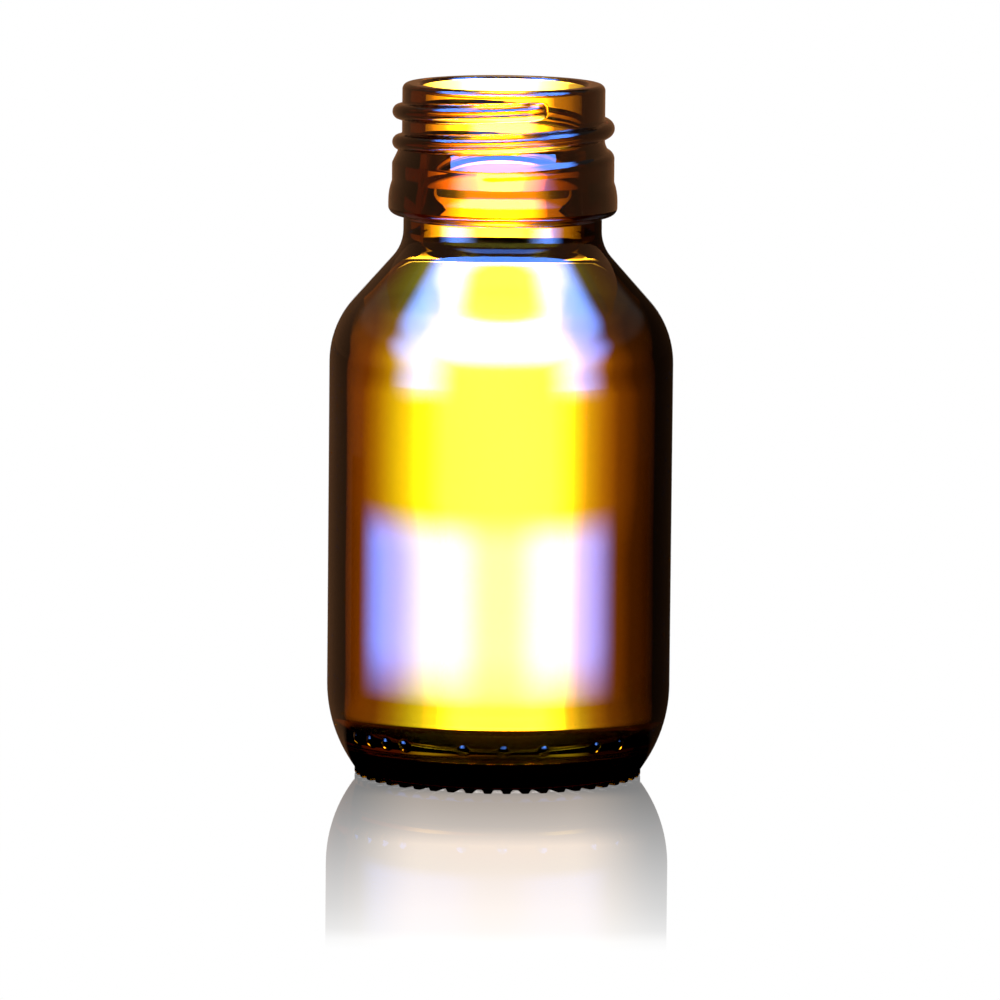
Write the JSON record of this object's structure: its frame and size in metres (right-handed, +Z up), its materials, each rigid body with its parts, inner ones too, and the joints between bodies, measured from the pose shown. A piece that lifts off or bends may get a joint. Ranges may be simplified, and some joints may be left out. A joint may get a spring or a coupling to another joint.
{
  "type": "reagent bottle",
  "caption": "Small straight-sided amber glass reagent bottle, open, with a sloping shoulder, a short collared neck, an external screw thread for a cap and a knurled foot ring to stand on.",
  "frame": {"origin": "on the bottle's axis, at the level of the foot ring it stands on", "axes": "+Z up along the axis, out of the mouth; -Y towards the viewer of the picture"},
  "size_m": [0.0425, 0.0424, 0.0857],
  "materials": {
    "amber_glass": "clear amber, fire-polished"
  },
  "bodies": {
    "root": {"glass_bottle": "amber_glass"}
  },
  "joints": []
}
